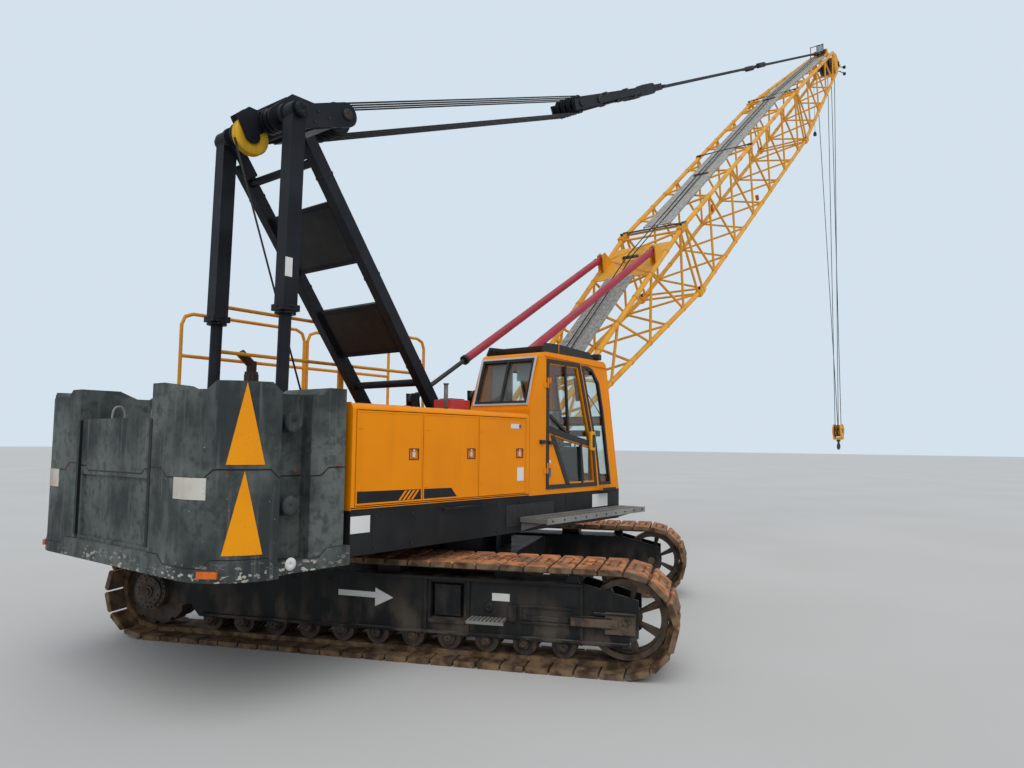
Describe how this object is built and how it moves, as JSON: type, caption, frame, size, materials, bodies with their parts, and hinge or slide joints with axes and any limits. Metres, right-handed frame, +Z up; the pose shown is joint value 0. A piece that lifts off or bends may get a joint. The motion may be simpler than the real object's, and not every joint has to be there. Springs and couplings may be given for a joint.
{
  "type": "crawler crane",
  "caption": "Crawler crane with a lattice boom held by pendants from a gantry, its upper works slewed across the tracks, with cab, winches, counterweight and hook.",
  "frame": {"origin": "on the ground at the slewing centre, from which a crane's radius is measured", "axes": "+X under the boom, +Y to the left of it, +Z up"},
  "size_m": [23.1446, 7.1884, 15.0719],
  "materials": {
    "track_steel": "rusted and worn",
    "frame_paint": "satin, dusty",
    "wheel_steel": "matte, greasy",
    "body_paint": "satin",
    "engine_iron": "matte",
    "ballast_paint": "weathered",
    "gantry_paint": "satin",
    "rope_steel": "greased wire rope",
    "drum_steel": "matte",
    "window_glass": "clear, slightly green",
    "guard_black": "satin",
    "seat_cloth": "woven",
    "rail_paint": "satin",
    "exhaust_steel": "sooty",
    "lamp_lens": "gloss",
    "boom_paint": "satin",
    "walkway_mesh": "galvanized",
    "rod_steel": "satin",
    "backstop_paint": "satin",
    "hook_steel": "worn"
  },
  "bodies": {
    "undercarriage": {"carbody": "frame_paint", "track_frame_right": "frame_paint", "track_frame_left": "frame_paint", "track_right": "track_steel", "track_left": "track_steel", "sprockets": "wheel_steel", "idlers": "wheel_steel", "rollers": "wheel_steel"},
    "superstructure": {"deck": "frame_paint", "housing_right": "body_paint", "housing_left": "body_paint", "engine": "engine_iron", "counterweight_tray": "ballast_paint", "counterweight_centre": "ballast_paint", "counterweight_lower": "ballast_paint", "counterweight_upper": "ballast_paint", "gantry_rear": "gantry_paint", "gantry_front": "gantry_paint", "winch_frame": "frame_paint", "cab": "body_paint", "cab_glass": "window_glass", "cab_guard": "guard_black", "cab_seat": "seat_cloth", "handrails": "rail_paint", "catwalk": "frame_paint", "exhaust": "exhaust_steel", "lamps": "lamp_lens"},
    "door_right_rear": {"door_right_rear": "body_paint"},
    "door_right_middle": {"door_right_middle": "body_paint"},
    "door_right_front": {"door_right_front": "body_paint"},
    "door_left_rear": {"door_left_rear": "body_paint"},
    "door_left_front": {"door_left_front": "body_paint"},
    "cab_door": {"cab_door": "body_paint"},
    "main_drum": {"main_drum": "drum_steel"},
    "aux_drum": {"aux_drum": "drum_steel"},
    "boom_drum": {"boom_drum": "drum_steel"},
    "gantry_block": {"gantry_block": "gantry_paint", "suspension_falls": "rope_steel"},
    "boom": {"boom_base": "boom_paint", "boom_insert": "boom_paint", "boom_tip": "boom_paint", "boom_walkway": "walkway_mesh", "pendants": "gantry_paint"},
    "tip_sheaves": {"tip_sheaves": "wheel_steel"},
    "backstop_rods": {"backstop_rods": "rod_steel"},
    "backstop_tubes": {"backstop_tubes": "backstop_paint"},
    "hoist_line": {"hoist_rope": "rope_steel"},
    "hook_block": {"hook_block": "boom_paint"},
    "hook": {"hook": "hook_steel"}
  },
  "joints": [
    {"name": "slew", "type": "hinge", "parent": "undercarriage", "child": "superstructure", "pos_m": [0, 0, 1.05], "axis": [0, 0, 1], "continuous": true},
    {"name": "boom_raise", "type": "hinge", "parent": "superstructure", "child": "boom", "pos_m": [0.989, 0, 1.652], "axis": [0, -1, 0], "range_deg": [-5.6, 42.9], "deforming": ["suspension_falls"]},
    {"name": "gantry_block_tilt", "type": "hinge", "parent": "superstructure", "child": "gantry_block", "pos_m": [-2.76, 0, 5.2], "axis": [0, -1, 0], "range_deg": [-6, 43.5]},
    {"name": "backstop_swing", "type": "hinge", "parent": "superstructure", "child": "backstop_rods", "pos_m": [-0.02, 0, 2.63], "axis": [0, -1, 0], "range_deg": [-6, 45]},
    {"name": "backstop_slide", "type": "slide", "parent": "backstop_rods", "child": "backstop_tubes", "axis": [0.8593, 0, 0.5116], "range_m": [-1.03, 0.14]},
    {"name": "hoist_swing", "type": "hinge", "parent": "boom", "child": "hoist_line", "pos_m": [18.62633, 0, 14.80294], "axis": [0, -1, 0], "range_deg": [-43, 6]},
    {"name": "hook_hoist", "type": "slide", "parent": "hoist_line", "child": "hook_block", "axis": [0, 0, 1], "range_m": [0, 9], "deforming": ["hoist_rope"]},
    {"name": "hook_swivel", "type": "hinge", "parent": "hook_block", "child": "hook", "pos_m": [18.89663, 0, 2.15], "axis": [0, 0, 1], "continuous": true},
    {"name": "tip_sheaves_turn", "type": "hinge", "parent": "boom", "child": "tip_sheaves", "pos_m": [18.62633, 0, 14.80294], "axis": [0, 1, 0], "continuous": true},
    {"name": "boom_drum_turn", "type": "hinge", "parent": "superstructure", "child": "boom_drum", "pos_m": [-1.75, 0, 1.811], "axis": [0, 1, 0], "continuous": true},
    {"name": "aux_drum_turn", "type": "hinge", "parent": "superstructure", "child": "aux_drum", "pos_m": [-1, 0, 1.811], "axis": [0, 1, 0], "continuous": true},
    {"name": "main_drum_turn", "type": "hinge", "parent": "superstructure", "child": "main_drum", "pos_m": [-0.25, 0, 1.811], "axis": [0, 1, 0], "continuous": true},
    {"name": "door_right_rear_swing", "type": "hinge", "parent": "superstructure", "child": "door_right_rear", "pos_m": [-2.672, -1.494, 1.9], "axis": [0, 0, -1], "range_deg": [0, 100]},
    {"name": "door_right_middle_swing", "type": "hinge", "parent": "superstructure", "child": "door_right_middle", "pos_m": [-1.86, -1.494, 1.9], "axis": [0, 0, -1], "range_deg": [0, 100]},
    {"name": "door_right_front_swing", "type": "hinge", "parent": "superstructure", "child": "door_right_front", "pos_m": [-1.048, -1.494, 1.9], "axis": [0, 0, -1], "range_deg": [0, 100]},
    {"name": "door_left_rear_swing", "type": "hinge", "parent": "superstructure", "child": "door_left_rear", "pos_m": [-2.672, 1.494, 1.9], "axis": [0, 0, 1], "range_deg": [0, 100]},
    {"name": "door_left_front_swing", "type": "hinge", "parent": "superstructure", "child": "door_left_front", "pos_m": [-1.048, 1.494, 1.9], "axis": [0, 0, 1], "range_deg": [0, 100]},
    {"name": "cab_door_swing", "type": "hinge", "parent": "superstructure", "child": "cab_door", "pos_m": [0.1535, -1.512, 2.2], "axis": [0, 0, -1], "range_deg": [0, 95]}
  ],
  "couplings": [
    {"joint": "gantry_block_tilt", "follows": "boom_raise", "ratio": 1},
    {"joint": "backstop_swing", "follows": "boom_raise", "ratio": 1.033},
    {"joint": "backstop_slide", "follows": "boom_raise", "m_per_rad": -1.362},
    {"joint": "hoist_swing", "follows": "boom_raise", "ratio": -1}
  ]
}
